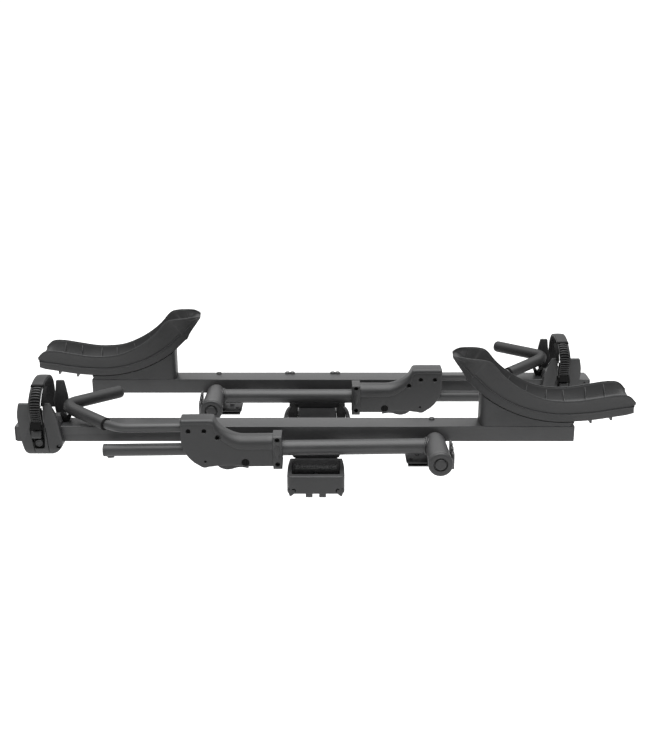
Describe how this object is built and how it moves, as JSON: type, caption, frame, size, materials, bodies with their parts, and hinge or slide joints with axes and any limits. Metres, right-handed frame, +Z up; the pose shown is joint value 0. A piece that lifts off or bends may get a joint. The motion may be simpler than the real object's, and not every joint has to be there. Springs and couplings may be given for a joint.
{
  "type": "hitch mounted bike rack",
  "caption": "Folding platform bike rack on a hitch shank: wheel troughs, strapped wheel saddles, ratcheting hook arms and a tilt handle.",
  "frame": {"origin": "centre of the hitch pin hole in the square shank", "axes": "+Y towards the vehicle along the shank, +Z up, +X to the right seen from behind the vehicle"},
  "size_m": [1.4688, 0.9231, 0.384],
  "materials": {
    "powder_coat": "satin textured powder coat",
    "black_plastic": "fine matte grain",
    "soft_rubber": "matte moulded rubber",
    "dark_zinc": "dark zinc plate"
  },
  "bodies": {
    "shank": {"hitch_shank": "powder_coat", "tilt_yoke": "powder_coat", "tilt_pivot_bolt": "dark_zinc", "tilt_pivot_nut": "dark_zinc", "shank_plug": "powder_coat"},
    "hitch_pin": {"hitch_pin": "dark_zinc"},
    "wobble_knob": {"wobble_knob": "black_plastic", "wobble_draw_rod": "dark_zinc"},
    "wobble_wedge": {"wobble_wedge": "dark_zinc"},
    "trays": {"spine_tube": "powder_coat", "tilt_clevis": "powder_coat", "handle_frame": "black_plastic", "release_spring": "dark_zinc", "outer_saddle": "powder_coat", "inner_saddle": "powder_coat", "spine_rail_left": "powder_coat", "spine_rail_right": "powder_coat", "outer_beam": "powder_coat", "outer_beam_end_cap": "black_plastic", "outer_wheel_cradle": "black_plastic", "outer_cradle_pedestal": "black_plastic", "outer_pivot_bracket": "powder_coat", "outer_pivot_bolt": "powder_coat", "inner_beam": "powder_coat", "inner_beam_end_cap": "black_plastic", "inner_wheel_cradle": "black_plastic", "inner_cradle_pedestal": "black_plastic", "inner_pivot_bracket": "powder_coat", "inner_pivot_bolt": "powder_coat"},
    "tilt_release": {"handle_lever": "black_plastic", "release_rod": "dark_zinc", "tilt_lock_pin": "dark_zinc"},
    "outer_arm": {"outer_arm_tube": "powder_coat", "outer_ratchet_bar": "powder_coat"},
    "outer_carriage": {"outer_carriage_housing": "black_plastic", "outer_carriage_collar": "black_plastic", "outer_trigger_screw": "dark_zinc", "outer_hook_rod": "powder_coat", "outer_hook_sheath": "soft_rubber"},
    "outer_trigger": {"outer_release_trigger": "black_plastic"},
    "outer_strap_cradle": {"outer_strap_cradle": "black_plastic", "outer_ladder_strap": "soft_rubber", "outer_strap_sleeve": "soft_rubber"},
    "outer_cradle_lock": {"outer_cradle_lock": "black_plastic"},
    "outer_buckle": {"outer_buckle": "black_plastic"},
    "outer_buckle_button": {"outer_buckle_button": "black_plastic"},
    "inner_arm": {"inner_arm_tube": "powder_coat", "inner_ratchet_bar": "powder_coat"},
    "inner_carriage": {"inner_carriage_housing": "black_plastic", "inner_carriage_collar": "black_plastic", "inner_trigger_screw": "dark_zinc", "inner_hook_rod": "powder_coat", "inner_hook_sheath": "soft_rubber"},
    "inner_trigger": {"inner_release_trigger": "black_plastic"},
    "inner_strap_cradle": {"inner_strap_cradle": "black_plastic", "inner_ladder_strap": "soft_rubber", "inner_strap_sleeve": "soft_rubber"},
    "inner_cradle_lock": {"inner_cradle_lock": "black_plastic"},
    "inner_buckle": {"inner_buckle": "black_plastic"},
    "inner_buckle_button": {"inner_buckle_button": "black_plastic"}
  },
  "joints": [
    {"name": "tray_tilt", "type": "hinge", "parent": "shank", "child": "trays", "pos_m": [0, -0.23, 0.057], "axis": [-1, 0, 0], "range_deg": [-35, 90]},
    {"name": "tilt_release_slide", "type": "slide", "parent": "trays", "child": "tilt_release", "axis": [0, -1, 0], "range_m": [0, 0.015], "stiffness_N_per_m": 900, "springref_m": -0.01},
    {"name": "hitch_pin_slide", "type": "slide", "parent": "shank", "child": "hitch_pin", "axis": [-1, 0, 0], "range_m": [0, 0.15]},
    {"name": "wobble_knob_turn", "type": "hinge", "parent": "shank", "child": "wobble_knob", "pos_m": [0, -0.15, 0], "axis": [0, 1, 0], "range_deg": [0, 720]},
    {"name": "wobble_wedge_slide", "type": "slide", "parent": "shank", "child": "wobble_wedge", "axis": [0, -1, 0], "range_m": [0, 0.003]},
    {"name": "outer_arm_swing", "type": "hinge", "parent": "trays", "child": "outer_arm", "pos_m": [0.277, -0.747, 0.1335], "axis": [0, 1, 0], "range_deg": [0, 115]},
    {"name": "outer_carriage_slide", "type": "slide", "parent": "outer_arm", "child": "outer_carriage", "axis": [0.9999, 0, 0.014], "range_m": [0, 0.25]},
    {"name": "outer_trigger_squeeze", "type": "hinge", "parent": "outer_carriage", "child": "outer_trigger", "pos_m": [-0.16257, -0.747, 0.09986], "axis": [0, 1, 0], "range_deg": [0, 5], "stiffness_Nm_per_rad": 2, "springref_deg": -8.59},
    {"name": "outer_strap_cradle_slide", "type": "slide", "parent": "trays", "child": "outer_strap_cradle", "axis": [-1, 0, 0], "range_m": [0, 0.012]},
    {"name": "outer_cradle_lock_swing", "type": "hinge", "parent": "outer_strap_cradle", "child": "outer_cradle_lock", "pos_m": [-0.613, -0.6168, 0.151], "axis": [-1, 0, 0], "range_deg": [0, 70]},
    {"name": "outer_buckle_lift", "type": "hinge", "parent": "outer_strap_cradle", "child": "outer_buckle", "pos_m": [-0.649, -0.712, 0.158], "axis": [-1, 0, 0], "range_deg": [0, 55], "stiffness_Nm_per_rad": 0.05, "springref_deg": -11.46},
    {"name": "outer_button_press", "type": "slide", "parent": "outer_strap_cradle", "child": "outer_buckle_button", "axis": [0, 1, 0], "range_m": [0, 0.0018], "stiffness_N_per_m": 500, "springref_m": -0.001},
    {"name": "inner_arm_swing", "type": "hinge", "parent": "trays", "child": "inner_arm", "pos_m": [-0.264, -0.407, 0.1335], "axis": [0, -1, 0], "range_deg": [0, 115]},
    {"name": "inner_carriage_slide", "type": "slide", "parent": "inner_arm", "child": "inner_carriage", "axis": [-1, 0, 0], "range_m": [0, 0.25]},
    {"name": "inner_trigger_squeeze", "type": "hinge", "parent": "inner_carriage", "child": "inner_trigger", "pos_m": [0.176, -0.407, 0.106], "axis": [0, -1, 0], "range_deg": [0, 5], "stiffness_Nm_per_rad": 2, "springref_deg": -8.59},
    {"name": "inner_strap_cradle_slide", "type": "slide", "parent": "trays", "child": "inner_strap_cradle", "axis": [1, 0, 0], "range_m": [0, 0.012]},
    {"name": "inner_cradle_lock_swing", "type": "hinge", "parent": "inner_strap_cradle", "child": "inner_cradle_lock", "pos_m": [0.609, -0.2768, 0.151], "axis": [-1, 0, 0], "range_deg": [0, 70]},
    {"name": "inner_buckle_lift", "type": "hinge", "parent": "inner_strap_cradle", "child": "inner_buckle", "pos_m": [0.645, -0.372, 0.158], "axis": [-1, 0, 0], "range_deg": [0, 55], "stiffness_Nm_per_rad": 0.05, "springref_deg": -11.46},
    {"name": "inner_button_press", "type": "slide", "parent": "inner_strap_cradle", "child": "inner_buckle_button", "axis": [0, 1, 0], "range_m": [0, 0.0018], "stiffness_N_per_m": 500, "springref_m": -0.001}
  ],
  "couplings": [
    {"joint": "wobble_knob_turn", "follows": "wobble_wedge_slide", "rad_per_m": 4188.8}
  ]
}
